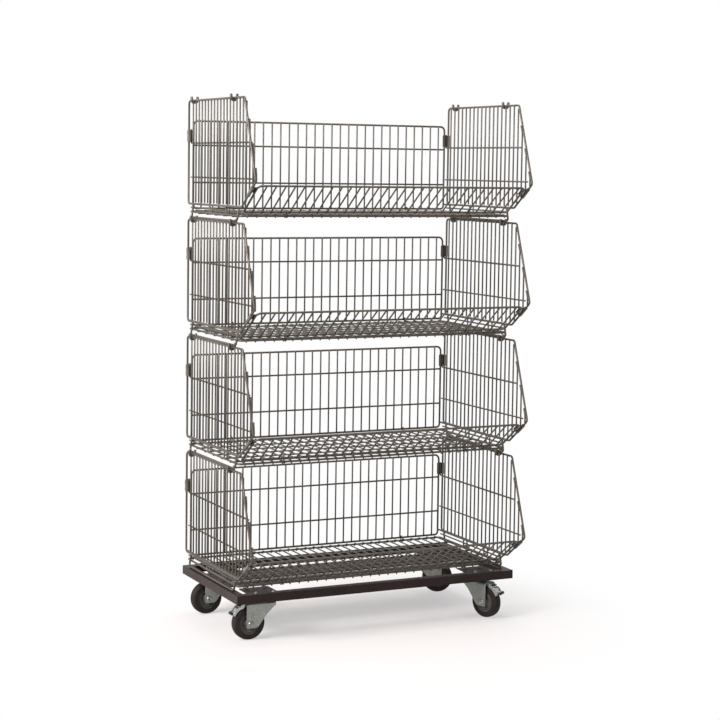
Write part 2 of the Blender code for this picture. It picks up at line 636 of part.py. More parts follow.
# Baskets, from the bottom up
SIDE_MESHES = {"left": side_mesh(-1), "right": side_mesh(1)}
FLOOR_MESH = floor_mesh()
BACK_MESH = grid_mesh(BACK_HEIGHT - HINGE_Z, BACK_PITCH, [z - HINGE_Z for z in BACK_BARS],
                      BACK_CORNER, LIP_CORNER)
LIP_MESH = grid_mesh(LIP_LENGTH, LIP_PITCH, (), LIP_CORNER, LIP_CORNER / 2)
CLIP_MESHES = {"left": clip_mesh(-1), "right": clip_mesh(1)}
CLIP_Z = SIDE_BARS[1] + FILL_WIRE + CLIP_LENGTH / 2
for tier in range(BASKETS):
    label = f"basket_{tier + 1}"
    base = empty(label, Matrix.Translation((0, 0, FIRST_RAIL_Z + tier * STACK_PITCH)))
    add(label + "_floor", FLOOR_MESH, WIRE, parent=base)
    for name, sign in (("left", -1), ("right", 1)):
        add(f"{label}_side_{name}", SIDE_MESHES[name], WIRE, parent=base)
        at_wire = Matrix.Translation((sign * PANEL_X, BACK_Y, CLIP_Z))
        add(f"{label}_clip_{name}", CLIP_MESHES[name], WIRE, at_wire, base)
    add(label + "_back", BACK_MESH, WIRE, Matrix.Translation((0, BACK_Y, HINGE_Z)), base)
    leaning = Matrix.Translation((0, LIP_HINGE_Y, HINGE_Z)) @ Matrix.Rotation(pi / 2 - LIP_TILT, 4, "X")
    add(label + "_lip", LIP_MESH, WIRE, leaning, base)

# Places of the hinges, for whoever joins the pieces
print("stack", round(FIRST_RAIL_Z, 5), round(STACK_PITCH, 5), "back hinge", round(BACK_Y, 5), round(HINGE_Z, 5))
print("lip hinge", round(LIP_HINGE_Y, 5), "tilt", round(degrees(LIP_TILT), 3), "length", round(LIP_LENGTH, 5))
print("swivel", round(CORNER_PLATE_X, 5), round(DOLLY_FRONT + PLATE_END_INSET, 5), round(DOLLY_BACK - PLATE_END_INSET, 5))
print("pedal pivot", [round(v, 5) for v in PEDAL_PIVOT], "eye", round(hypot(EYE_RADIUS, 0), 5))
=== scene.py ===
# %% [markdown]
# # A rolling stand of wire baskets
#
# Four wire baskets stand on each other, and the lowest one stands on a steel dolly with four
# swivel casters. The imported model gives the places, the sizes and the moving bodies. This lesson
# dresses it: every panel is drawn again with round wire, the casters get their pressed and turned
# pieces, and each finish gets its own nodes.

# %% Load the frame
from math import acos, cos, pi, radians, sin, tan

import bmesh
import bpy
from mathutils import Matrix, Vector


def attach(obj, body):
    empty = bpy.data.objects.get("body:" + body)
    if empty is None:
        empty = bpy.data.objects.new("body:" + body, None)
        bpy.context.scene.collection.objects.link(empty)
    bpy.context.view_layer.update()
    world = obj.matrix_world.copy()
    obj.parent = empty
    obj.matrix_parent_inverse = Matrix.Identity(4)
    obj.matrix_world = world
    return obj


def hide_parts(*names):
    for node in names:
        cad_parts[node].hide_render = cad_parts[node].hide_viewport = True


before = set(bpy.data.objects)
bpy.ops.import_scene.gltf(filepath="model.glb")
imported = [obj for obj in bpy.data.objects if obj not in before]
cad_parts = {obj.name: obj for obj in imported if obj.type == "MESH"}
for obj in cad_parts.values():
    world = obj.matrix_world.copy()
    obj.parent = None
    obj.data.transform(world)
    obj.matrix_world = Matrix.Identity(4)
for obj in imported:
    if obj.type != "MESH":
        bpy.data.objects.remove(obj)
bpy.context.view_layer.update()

# %% [markdown]
# ## The camera
#
# The picture was taken from the front left with a long lens, a little below the top basket's rim,
# so its floor shows almost edge on while the lowest floor shows from above. A camera can be aimed
# by hand until the picture agrees, but here its place comes from a fit of the panels' corners.
# A little lens shift keeps the uprights nearly parallel.

# %% Place the camera
PICTURE = 720
camera_data = bpy.data.cameras.new("camera")
camera_data.sensor_width = 36.0
camera_data.lens = 1841.3 / PICTURE * camera_data.sensor_width
camera_data.shift_y = (310 - PICTURE / 2) / PICTURE
camera = bpy.data.objects.new("camera", camera_data)
bpy.context.scene.collection.objects.link(camera)
heading, pitch, roll = radians(-25.916), radians(-4.472), radians(0.798)
ahead = Vector((-sin(heading) * cos(pitch), cos(heading) * cos(pitch), sin(pitch)))
right = Vector((cos(heading), sin(heading), 0.0))
above = right.cross(ahead)
right, above = right * cos(roll) + above * sin(roll), above * cos(roll) - right * sin(roll)
facing = Matrix((right, above, -ahead)).transposed().to_4x4()
camera.matrix_world = Matrix.Translation((-2.386, -4.931, 1.3565)) @ facing
camera_data.clip_end = 60.0
bpy.context.scene.camera = camera
print("lens", round(camera_data.lens, 1), "mm")

# %% [markdown]
# ## Light and floor
#
# The stand is photographed on white. A large soft lamp at the upper left models the wires, a weaker
# one at the right fills the shadows, and the world adds an even glow. Far from the stand the floor
# turns into plain white, while near the wheels it keeps the soft shadow.

# %% World and lamps
AMBIENT = 0.22               # share of the white room that lights the stand
scene = bpy.context.scene
scene.view_settings.view_transform = "Standard"


def seen_directly(tree):
    """1 for rays that show the background itself or its reflection, 0 for rays that only light."""
    path = tree.nodes.new("ShaderNodeLightPath")
    first = tree.nodes.new("ShaderNodeMath")
    first.operation = "MAXIMUM"
    tree.links.new(path.outputs["Is Camera Ray"], first.inputs[0])
    tree.links.new(path.outputs["Is Glossy Ray"], first.inputs[1])
    second = tree.nodes.new("ShaderNodeMath")
    second.operation = "MAXIMUM"
    tree.links.new(first.outputs[0], second.inputs[0])
    tree.links.new(path.outputs["Is Transmission Ray"], second.inputs[1])
    return second.outputs[0]


def spread(tree, value, low, high):
    """Map a 0 to 1 value to a range."""
    node = tree.nodes.new("ShaderNodeMapRange")
    node.inputs["To Min"].default_value = low
    node.inputs["To Max"].default_value = high
    tree.links.new(value, node.inputs["Value"])
    return node.outputs[0]


world = bpy.data.worlds.new("white_room")
scene.world = world
world.use_nodes = True
sky = world.node_tree.nodes["Background"]
sky.inputs["Color"].default_value = (1.0, 1.0, 1.0, 1.0)
tree = world.node_tree
tree.links.new(spread(tree, seen_directly(tree), AMBIENT, 1.0), sky.inputs["Strength"])


def lamp(name, place, target, size, power):
    data = bpy.data.lights.new(name, "AREA")
    data.shape = "DISK"
    data.size = size
    data.energy = power
    thing = bpy.data.objects.new(name, data)
    scene.collection.objects.link(thing)
    thing.location = place
    thing.rotation_mode = "QUATERNION"
    thing.rotation_quaternion = (Vector(target) - Vector(place)).to_track_quat("-Z", "Y")
    return thing


lamps = [lamp("key_lamp", (-4.0, -0.9, 3.2), (0, 0, 0.8), 1.8, 300),
         lamp("fill_lamp", (1.6, -4.2, 1.6), (0, 0, 0.7), 2.6, 12),
         lamp("top_lamp", (0.4, 0.6, 4.2), (0, 0, 0.8), 2.2, 85)]
print("lamps:", [thing.name for thing in lamps])

# %% Floor that fades to white
GROUND_R = 14.0
bm = bmesh.new()
bmesh.ops.create_circle(bm, cap_ends=True, segments=96, radius=GROUND_R)
ground_mesh = bpy.data.meshes.new("studio_floor")
bm.to_mesh(ground_mesh)
bm.free()
ground = bpy.data.objects.new("studio_floor", ground_mesh)
scene.collection.objects.link(ground)
ground.location.z = -0.0006
ground_look = bpy.data.materials.new("pale_floor")
ground_look.use_nodes = True
tree = ground_look.node_tree
matte = tree.nodes["Principled BSDF"]
matte.inputs["Base Color"].default_value = (0.87, 0.78, 0.755, 1.0)
matte.inputs["Roughness"].default_value = 0.75
glow = tree.nodes.new("ShaderNodeEmission")
tree.links.new(spread(tree, seen_directly(tree), AMBIENT, 1.0), glow.inputs["Strength"])
place = tree.nodes.new("ShaderNodeTexCoord")
far = tree.nodes.new("ShaderNodeVectorMath")
far.operation = "LENGTH"
tree.links.new(place.outputs["Object"], far.inputs[0])
fade = tree.nodes.new("ShaderNodeMapRange")
fade.interpolation_type = "SMOOTHSTEP"
fade.inputs["From Min"].default_value = 0.25
fade.inputs["From Max"].default_value = 0.95
fade.inputs["To Min"].default_value = 0.44
tree.links.new(far.outputs["Value"], fade.inputs["Value"])
mix = tree.nodes.new("ShaderNodeMixShader")
tree.links.new(fade.outputs[0], mix.inputs["Fac"])
tree.links.new(matte.outputs[0], mix.inputs[1])
tree.links.new(glow.outputs[0], mix.inputs[2])
tree.links.new(mix.outputs[0], tree.nodes["Material Output"].inputs["Surface"])
ground_mesh.materials.append(ground_look)
print("floor radius", GROUND_R)

# %% [markdown]
# ## Finishes
#
# The baskets are drawn wire with a dull zinc plating: grey, a little brown and cloudy. The forks are
# brighter zinc, greenish, with small crystals. The dolly has dark brown paint with a fine orange peel,
# and the wheels are rubber on grey plastic. A photograph could be wrapped round them, but nodes stay
# sharp at every distance, so each finish is a small node tree.


# %% A finish and its helpers
def finish(name, metallic, roughness, gloss=0.5):
    """A new material; hands back it, its nodes and its main shader."""
    made = bpy.data.materials.new(name)
    made.use_nodes = True
    shader = made.node_tree.nodes["Principled BSDF"]
    shader.inputs["Metallic"].default_value = metallic
    shader.inputs["Roughness"].default_value = roughness
    shader.inputs["Specular IOR Level"].default_value = gloss
    return made, made.node_tree, shader


def cloud(tree, scale, detail=4.0, stretch=(1, 1, 1)):
    """Noise in the object's own metres, stretched along an axis where asked."""
    coords = tree.nodes.new("ShaderNodeTexCoord")
    mapping = tree.nodes.new("ShaderNodeMapping")
    mapping.inputs["Scale"].default_value = stretch
    noise = tree.nodes.new("ShaderNodeTexNoise")
    noise.inputs["Scale"].default_value = scale
    noise.inputs["Detail"].default_value = detail
    tree.links.new(coords.outputs["Object"], mapping.inputs["Vector"])
    tree.links.new(mapping.outputs["Vector"], noise.inputs["Vector"])
    return noise.outputs["Fac"]


def crystals(tree, scale):
    """Flat random patches, like the crystals of a zinc coat."""
    coords = tree.nodes.new("ShaderNodeTexCoord")
    cells = tree.nodes.new("ShaderNodeTexVoronoi")
    cells.inputs["Scale"].default_value = scale
    tree.links.new(coords.outputs["Object"], cells.inputs["Vector"])
    bright = tree.nodes.new("ShaderNodeSeparateColor")
    tree.links.new(cells.outputs["Color"], bright.inputs["Color"])
    return bright.outputs[0]


def shades(tree, value, *stops):
    """A colour for each part of a 0 to 1 value."""
    ramp = tree.nodes.new("ShaderNodeValToRGB")
    points = ramp.color_ramp.elements
    while len(points) < len(stops):
        points.new(0.5)
    for point, (at, colour) in zip(points, stops):
        point.position = at
        point.color = (*colour, 1.0)
    tree.links.new(value, ramp.inputs["Fac"])
    return ramp.outputs["Color"]


def overlay(tree, kind, amount, under, over):
    node = tree.nodes.new("ShaderNodeMix")
    node.data_type = "RGBA"
    node.blend_type = kind
    node.inputs["Factor"].default_value = amount
    tree.links.new(under, node.inputs["A"])
    tree.links.new(over, node.inputs["B"])
    return node.outputs["Result"]


def relief(tree, shader, value, strength, distance):
    bump = tree.nodes.new("ShaderNodeBump")
    bump.inputs["Strength"].default_value = strength
    bump.inputs["Distance"].default_value = distance
    tree.links.new(value, bump.inputs["Height"])
    tree.links.new(bump.outputs["Normal"], shader.inputs["Normal"])


# %% Zinc-plated wire
def wire_finish(name, dark, mid, light):
    made, tree, shader = finish(name, 0.25, 0.4)
    broad = shades(tree, cloud(tree, 9.0), (0.30, dark), (0.52, mid), (0.74, light))
    fine = shades(tree, cloud(tree, 420.0, 3.0), (0.35, (0.72, 0.71, 0.70)), (0.65, (1.0, 1.0, 1.0)))
    tree.links.new(overlay(tree, "MULTIPLY", 0.55, broad, fine), shader.inputs["Base Color"])
    tree.links.new(spread(tree, cloud(tree, 60.0), 0.30, 0.52), shader.inputs["Roughness"])
    relief(tree, shader, cloud(tree, 900.0, 2.0), 0.25, 0.0002)
    return made


WIRE_LOOK = wire_finish("zinc_wire_look",
                        (0.083, 0.068, 0.053), (0.116, 0.096, 0.076), (0.158, 0.133, 0.106))
# The clips and sleeves take the wire's zinc painted about half again lighter. This is painted light, so that
# clips sitting in shade show mid-grey.
CLIP_ZINC_PAINTED_LIGHT_LOOK = wire_finish("clip_zinc_painted_light_look",
                        (0.125, 0.108, 0.092), (0.190, 0.166, 0.146), (0.270, 0.241, 0.214))
print("wire finishes ready")

# %% Zinc-plated pressings, dark paint, rubber and plastic
PRESSED_LOOK, tree, shader = finish("zinc_pressing_look", 0.72, 0.38)
flakes = shades(tree, crystals(tree, 210.0), (0.0, (0.250, 0.262, 0.240)), (1.0, (0.325, 0.338, 0.314)))
haze = shades(tree, cloud(tree, 30.0), (0.3, (0.80, 0.81, 0.80)), (0.7, (1.0, 1.0, 1.0)))
tree.links.new(overlay(tree, "MULTIPLY", 0.8, flakes, haze), shader.inputs["Base Color"])
tree.links.new(spread(tree, cloud(tree, 80.0), 0.28, 0.46), shader.inputs["Roughness"])
relief(tree, shader, cloud(tree, 500.0, 2.0), 0.15, 0.0002)

PAINT_LOOK, tree, shader = finish("dolly_paint_look", 0.0, 0.42, 0.18)
tone = shades(tree, cloud(tree, 14.0), (0.3, (0.020, 0.0105, 0.0098)), (0.7, (0.034, 0.0205, 0.0185)))
tree.links.new(tone, shader.inputs["Base Color"])
tree.links.new(spread(tree, cloud(tree, 50.0), 0.32, 0.55), shader.inputs["Roughness"])
relief(tree, shader, cloud(tree, 650.0, 1.0), 0.3, 0.0003)

RUBBER_LOOK, tree, shader = finish("tyre_rubber_look", 0.0, 0.68, 0.2)
tone = shades(tree, cloud(tree, 45.0, 6.0), (0.3, (0.017, 0.0115, 0.0105)), (0.75, (0.032, 0.0240, 0.0225)))
tree.links.new(tone, shader.inputs["Base Color"])
tree.links.new(spread(tree, cloud(tree, 120.0), 0.55, 0.8), shader.inputs["Roughness"])
relief(tree, shader, cloud(tree, 1400.0, 2.0), 0.35, 0.0003)

HUB_LOOK, tree, shader = finish("hub_plastic_look", 0.0, 0.5, 0.3)
tone = shades(tree, cloud(tree, 60.0), (0.3, (0.075, 0.064, 0.060)), (0.7, (0.115, 0.101, 0.096)))
tree.links.new(tone, shader.inputs["Base Color"])
tree.links.new(spread(tree, cloud(tree, 200.0), 0.4, 0.6), shader.inputs["Roughness"])
relief(tree, shader, cloud(tree, 1000.0, 1.0), 0.2, 0.0002)
print("finishes:", len(bpy.data.materials))

# %% [markdown]
# ## Drawing with wire
#
# A basket maker bends straight wire over a former and welds the crossings. Blender's curves with a
# round bevel would draw the same wire, but a tube that is swept in mesh code welds into one clean
# piece for each panel, has cut ends with a small chamfer, and needs few faces.


# %% Bend and sweep
def bent(points, radius, closed=False, steps=4):
    """A path whose corners are turned into arcs; radius is one value or one for each point."""
    points = [Vector(p) for p in points]
    count = len(points)
    radii = radius if isinstance(radius, (list, tuple)) else [radius] * count
    path = []
    for i, here in enumerate(points):
        if not closed and i in (0, count - 1):
            path.append(here)
            continue
        to_last = points[i - 1] - here
        to_next = points[(i + 1) % count] - here
        turn = pi - to_last.angle(to_next)
        if turn < 0.05 or radii[i] <= 0:
            path.append(here)
            continue
        reach = min(radii[i] * tan(turn / 2), 0.48 * to_last.length, 0.48 * to_next.length)
        start = here + to_last.normalized() * reach
        end = here + to_next.normalized() * reach
        pieces = max(2, round(steps * turn / (pi / 2)))
        inward = (to_last.normalized() + to_next.normalized()).normalized()
        middle = here + inward * Vector((reach, reach / tan(turn / 2))).length
        axis = (start - middle).cross(end - middle).normalized()
        for k in range(pieces + 1):
            path.append(middle + Matrix.Rotation(turn * k / pieces, 3, axis) @ (start - middle))
    return path


def tube(bm, path, radius, sides=8, closed=False):
    """Sweep a round wire along a path without twisting it."""
    path = [Vector(p) for p in path]
    count = len(path)
    along = []
    for i in range(count):
        before = path[i - 1] if closed or i else path[0]
        after = path[(i + 1) % count] if closed or i < count - 1 else path[-1]
        along.append((after - before).normalized())
    across = [along[0].orthogonal().normalized()]
    for i in range(1, count):
        across.append(along[i - 1].rotation_difference(along[i]) @ across[-1])
    twist = 0.0
    if closed:
        home = along[-1].rotation_difference(along[0]) @ across[-1]
        twist = acos(max(-1.0, min(1.0, home.dot(across[0]))))
        if home.cross(across[0]).dot(along[0]) < 0:
            twist = -twist
    stations = [(path[i], along[i], across[i], radius, twist * i / count) for i in range(count)]
    if not closed:
        chamfer = 0.3 * radius
        stations[0] = (path[0] + along[0] * chamfer, along[0], across[0], radius, 0.0)
        stations[-1] = (path[-1] - along[-1] * chamfer, along[-1], across[-1], radius, 0.0)
        stations.insert(0, (path[0], along[0], across[0], 0.72 * radius, 0.0))
        stations.append((path[-1], along[-1], across[-1], 0.72 * radius, 0.0))
    rings = []
    for centre, axis, side, size, angle in stations:
        other = axis.cross(side)
        ring = []
        for k in range(sides):
            t = 2 * pi * k / sides + angle
            ring.append(bm.verts.new(centre + (side * cos(t) + other * sin(t)) * size))
        rings.append(ring)
    pairs = list(zip(rings, rings[1:])) + ([(rings[-1], rings[0])] if closed else [])
    for a, b in pairs:
        for k in range(sides):
            bm.faces.new((a[k], a[(k + 1) % sides], b[(k + 1) % sides], b[k])).smooth = True
    if not closed:
        bm.faces.new(list(reversed(rings[0])))
        bm.faces.new(rings[-1])


def closed_mesh(name, bm, look):
    mesh = bpy.data.meshes.new(name)
    bm.to_mesh(mesh)
    bm.free()
    mesh.materials.append(look)
    return mesh


def piece(name, mesh, body, node=None, place=(0, 0, 0)):
    """Put a finished mesh on a body, in place of a solid where one is named."""
    thing = bpy.data.objects.new(name, mesh)
    scene.collection.objects.link(thing)
    thing.location = place
    bpy.context.view_layer.update()
    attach(thing, body)
    if node:
        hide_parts(node)
    return thing


# %% [markdown]
# ## One end wall of a basket
#
# The end wall is a five-sided loop of thick wire: upright at the back, level on top, sloping out to
# a nose and back in to the bottom rail. Thin uprights are welded on its inside, with their tips bent
# along the sloping edge, and two level wires lie over them. The upper level wire is turned up at the
# back into a pin. Two wire saddles reach up round the top wire and hold the runners of the next basket.

# %% Sizes of a basket
TIERS = 4
RAIL = [0.18333 + 0.35139 * k for k in range(TIERS)]
FRAME_R, FILL_R, FLOOR_R, BAR_R = 0.0031, 0.00242, 0.00215, 0.0027
CROSS_R, PRONG_R, LOOP_R, EYE_R = 0.0024, 0.0042, 0.0025, 0.0015
PITCH, END_PITCH = 0.0287, 0.0245
PANEL_X, RIM_X, PANEL_HALF = 0.440, 0.4338, 0.4255
BACK_Y, TOP_FRONT_Y, BOTTOM_FRONT_Y = 0.25749, -0.17951, -0.16251
NOSE = Vector((-0.26384, 0.072))
SIDE_HEIGHT = 0.3054
FLOOR_Z, FLOOR_BACK_Z, HINGE_Z = -0.0250, -0.0236, -0.014
LIP_Y, LIP_TILT, LIP_LENGTH, LIP_SHARE = -0.1428, radians(35.395), 0.12858, 0.84
WELD = 0.0035                # middle of a thin wire from the middle of the thick one it sits on
print("rails at", [round(z, 3) for z in RAIL])


# %% End wall
def edge_height(y, top):
    """Height of the sloping front edges above or below the nose."""
    if top:
        return NOSE.y + (y - NOSE.x) / (TOP_FRONT_Y - NOSE.x) * (SIDE_HEIGHT - NOSE.y)
    return NOSE.y * (BOTTOM_FRONT_Y - y) / (BOTTOM_FRONT_Y - NOSE.x)


def end_wall(side):
    bm = bmesh.new()
    x = side * PANEL_X
    corners = [(BACK_Y, 0), (BACK_Y, SIDE_HEIGHT), (TOP_FRONT_Y, SIDE_HEIGHT), tuple(NOSE),
               (BOTTOM_FRONT_Y, 0)]
    bends = [0.010, 0.012, 0.008, 0.010, 0.010]
    tube(bm, bent([(x, y, z) for y, z in corners], bends, True), FRAME_R, 10, True)
    inner, deep = x - side * 0.0042, x - side * 0.0080
    slope = (Vector((TOP_FRONT_Y, SIDE_HEIGHT)) - NOSE).normalized()
    for k in range(1, 22):
        y = BACK_Y - k * END_PITCH
        low = 0.0046 if y > BOTTOM_FRONT_Y else edge_height(y, False) - 0.001
        high = SIDE_HEIGHT if y > TOP_FRONT_Y else edge_height(y, True)
        if high - low < 0.024:
            continue
        path = [(inner, y, low), (inner, y, high + 0.001)]
        if high < SIDE_HEIGHT - 0.03:
            lap = Vector((y, high)) + slope * 0.020
            tip = (inner - side * 0.0012, lap.x - 0.0008, lap.y)
            path = bent([path[0], (inner, y, high - 0.002), tip], 0.012)
        tube(bm, path, FILL_R, 7)
    for z, pin in ((0.079, 0.0), (0.180, 0.042)):
        front = NOSE.x + (z - NOSE.y) / (SIDE_HEIGHT - NOSE.y) * (TOP_FRONT_Y - NOSE.x)
        level = [(deep, front + 0.010, z), (deep, BACK_Y + 0.001, z)]
        if pin:
            level = bent(level + [(deep, BACK_Y + 0.001, z + pin)], 0.006)
        tube(bm, level, BAR_R if pin else FILL_R, 7)
    for y in (BACK_Y - 0.045, TOP_FRONT_Y + 0.080):
        saddle = [(x + dx, y, SIDE_HEIGHT + dz) for dx, dz in
                  ((-0.0096, 0.0112), (-0.0078, -0.0058), (0.0078, -0.0058), (0.0096, 0.0112))]
        tube(bm, bent(saddle, 0.0055), PRONG_R, 8)
    return bm


WALLS = {"left": closed_mesh("end_wall_left", end_wall(-1), WIRE_LOOK),
         "right": closed_mesh("end_wall_right", end_wall(1), WIRE_LOOK)}
for tier in range(TIERS):
    body = f"basket_{tier + 1}"
    for name, mesh in WALLS.items():
        piece(f"{body}_wall_{name}", mesh, body, f"{body}_side_{name}", (0, 0, RAIL[tier]))
print("faces in an end wall:", len(WALLS["left"].polygons))

# %% [markdown]
# ## The floor
#
# The floor is a ring of thick wire with close thin wires from front to back. Each thin wire is
# curled down over the ring, which gives the front edge its row of small bumps. Rims beside the end
# walls stand on wire loops, and a runner hangs under each rim to sit on the basket below. The floor's
# wires lie half a step beside the back's, so the back can fold down flat between them.


# %% Floor of a basket
def even_places(pitch, half):
    count = int((half - pitch / 2) / pitch)
    return [k * pitch for k in range(-count, count + 1)]


def floor_height(y):
    """The floor falls a little towards the front."""
    return FLOOR_Z + (FLOOR_BACK_Z - FLOOR_Z) * (y - LIP_Y) / (BACK_Y - LIP_Y)


def floor_panel():
    bm = bmesh.new()
    corners = [(-RIM_X, LIP_Y), (RIM_X, LIP_Y), (RIM_X, BACK_Y), (-RIM_X, BACK_Y)]
    tube(bm, bent([(x, y, floor_height(y)) for x, y in corners], 0.010, True), FRAME_R, 10, True)
    for k in range(-15, 15):
        x = (k + 0.5) * PITCH
        path = [(x, BACK_Y + 0.0034, FLOOR_BACK_Z - 0.0058), (x, BACK_Y + 0.0040, FLOOR_BACK_Z + WELD),
                (x, LIP_Y - 0.0040, FLOOR_Z + WELD), (x, LIP_Y - 0.0034, FLOOR_Z - 0.0056)]
        tube(bm, bent(path, 0.0036, False, 3), FLOOR_R, 7)
    step = (BACK_Y - LIP_Y) / 6
    for k in range(1, 6):
        y = LIP_Y + k * step
        z = floor_height(y) - WELD
        tube(bm, [(-RIM_X - 0.001, y, z), (RIM_X + 0.001, y, z)], CROSS_R, 7)
    for side in (-1, 1):
        x, low = side * RIM_X, side * (RIM_X + 0.0062)
        front, back = BOTTOM_FRONT_Y + 0.034, BACK_Y - 0.027
        loop = [(x, front, 0), (x, back, 0), (low, back, -0.040), (low, front, -0.040)]
        tube(bm, bent(loop, 0.010, True), FRAME_R, 10, True)
        tube(bm, [(x, back - 0.012, 0.0), (x, BACK_Y + 0.0062, 0.0)], FRAME_R, 10)
        tube(bm, [(x, front + 0.012, 0.0), (x, BOTTOM_FRONT_Y + 0.004, 0.0)], FRAME_R, 10)
        tube(bm, [(x, LIP_Y + 0.006, -0.0125), (x, BACK_Y - 0.006, -0.0110)], FILL_R, 8)
        for gap in (0.170, 0.300):
            y = BACK_Y - gap
            foot = floor_height(y)
            legs = [(x, y - 0.011, 0.0), (x, y - 0.011, foot), (x, y + 0.011, foot), (x, y + 0.011, 0.0)]
            tube(bm, bent(legs, 0.006), LOOP_R, 8)
    for y, foot in ((BACK_Y, FLOOR_BACK_Z), (LIP_Y, FLOOR_Z)):
        low, high = foot - 0.0050, HINGE_Z + 0.0052
        for side in (-1, 1):
            x = side * 10.25 * PITCH
            eye = [(x, y + a * 0.0052, z) for a, z in ((-1, low), (1, low), (1, high), (-1, high))]
            tube(bm, bent(eye, 0.0050, True), EYE_R, 7, True)
    return bm


FLOOR = closed_mesh("basket_floor", floor_panel(), WIRE_LOOK)
for tier in range(TIERS):
    body = f"basket_{tier + 1}"
    piece(f"{body}_floor_wires", FLOOR, body, f"{body}_floor", (0, 0, RAIL[tier]))
print("faces in a floor:", len(FLOOR.polygons))

# %% [markdown]
# ## Back panel and front lip
#
# Both are flat gates: a loop of thick wire filled with thin uprights. The back stands on its hinge
# wire and has two level wires; the lip leans out over the floor's front edge and has none.


# %% Gates
def gate(height, bars, top_bend, foot_bend, front):
    """A gate standing on its hinge wire: X along the hinge, Z up, thin wires towards front."""
    bm = bmesh.new()
    corners = [(-PANEL_HALF, 0, 0), (PANEL_HALF, 0, 0), (PANEL_HALF, 0, height), (-PANEL_HALF, 0, height)]
    tube(bm, bent(corners, [foot_bend, foot_bend, top_bend, top_bend], True), FRAME_R, 10, True)
    for x in even_places(PITCH, PANEL_HALF):
        tube(bm, [(x, front * WELD, -0.0012), (x, front * WELD, height + 0.0012)], FILL_R, 7)
    for z in bars:
        tube(bm, [(-PANEL_HALF - 0.001, -front * WELD, z), (PANEL_HALF + 0.001, -front * WELD, z)], BAR_R, 7)
    return bm


bars = [z - HINGE_Z for z in (0.063, 0.174)]
BACK_GATE = closed_mesh("back_gate", gate(0.2466 - HINGE_Z, bars, 0.014, 0.010, -1), WIRE_LOOK)
lip = gate(LIP_LENGTH, (), 0.014, 0.006, -1)
bmesh.ops.transform(lip, matrix=Matrix.Rotation(pi / 2 - LIP_TILT, 4, "X"), verts=lip.verts)
LIP_GATE = closed_mesh("lip_gate", lip, WIRE_LOOK)
for tier in range(TIERS):
    body = f"basket_{tier + 1}"
    piece(f"{body}_back_wires", BACK_GATE, f"{body}_back", f"{body}_back", (0, BACK_Y, RAIL[tier] + HINGE_Z))
    piece(f"{body}_lip_wires", LIP_GATE, f"{body}_lip", f"{body}_lip", (0, LIP_Y, RAIL[tier] + HINGE_Z))
print("faces in a back:", len(BACK_GATE.polygons), "in a lip:", len(LIP_GATE.polygons))

# %% [markdown]
# ## Sleeves and clips
#
# The back panel is held by a spring clip on each end wall, and the lip by a sleeve on each sloping
# lower edge. Both are strips of thin steel folded round a wire. A folded strip is drawn here as a
# bent line with a thickness, stretched along the wire.


# %% Folded strips
def strip(bm, line, thickness, width, place):
    """A strip of sheet metal: a flat line of (x, z) points with a thickness, width along Y."""
    line = [Vector(p) for p in line]
    sides = []
    for i, here in enumerate(line):
        ahead = line[min(i + 1, len(line) - 1)] - line[max(i - 1, 0)]
        sides.append(Vector((-ahead.y, ahead.x)).normalized() * thickness / 2)
    rims = []
    for y in (-width / 2, width / 2):
        for sign in (1, -1):
            rims.append([bm.verts.new(place @ Vector((p.x + sign * s.x, y, p.y + sign * s.y)))
                         for p, s in zip(line, sides)])
    faces = []
    near_up, near_down, far_up, far_down = rims
    for i in range(len(line) - 1):
        faces.append((near_up[i], near_up[i + 1], far_up[i + 1], far_up[i]))
        faces.append((near_down[i + 1], near_down[i], far_down[i], far_down[i + 1]))
        faces.append((near_up[i + 1], near_up[i], near_down[i], near_down[i + 1]))
        faces.append((far_up[i], far_up[i + 1], far_down[i + 1], far_down[i]))
    for i, turn in ((0, 1), (-1, -1)):
        faces.append([near_up[i], far_up[i], far_down[i], near_down[i]][::turn])
    made = [bm.faces.new(corners) for corners in faces]
    bmesh.ops.recalc_face_normals(bm, faces=made)
    return made


def flat_bend(points, radius, steps=4):
    """A flat line with rounded corners."""
    return [Vector((p.x, p.y)) for p in bent([(a, b, 0) for a, b in points], radius, False, steps)]


def softened(thing, width, angle=35):
    """Round the edges of a finished piece and shade it smoothly."""
    bevel = thing.modifiers.new("soft_edges", "BEVEL")
    bevel.width = width
    bevel.segments = 2
    bevel.limit_method = "ANGLE"
    bevel.angle_limit = radians(angle)
    bevel.harden_normals = True
    for face in thing.data.polygons:
        face.use_smooth = True
    return thing


CLIP_Z = 0.180 + 0.0035 + 0.018
for side, name in ((-1, "left"), (1, "right")):
    bm = bmesh.new()
    wrap = [(-side * 0.0035, -0.0044), (side * 0.0044, -0.0044), (side * 0.0044, 0.0044),
            (-side * 0.0130, 0.0044), (-side * 0.0172, 0.0058)]
    lay_up = Matrix(((1, 0, 0), (0, 0, 1), (0, 1, 0))).to_4x4()
    strip(bm, flat_bend(wrap, 0.0036), 0.0014, 0.036, lay_up)
    for z in (-0.009, 0.009):
        rib = [(side * 0.0049, 0.0, z - 0.004), (side * 0.0052, 0.0, z), (side * 0.0049, 0.0, z + 0.004)]
        tube(bm, rib, 0.0010, 6)
    clip = closed_mesh(f"back_clip_{name}", bm, CLIP_ZINC_PAINTED_LIGHT_LOOK)
    for tier in range(TIERS):
        body = f"basket_{tier + 1}"
        softened(piece(f"{body}_clip_strip_{name}", clip, body, f"{body}_clip_{name}",
                       (side * PANEL_X, BACK_Y, RAIL[tier] + CLIP_Z)), 0.0004)

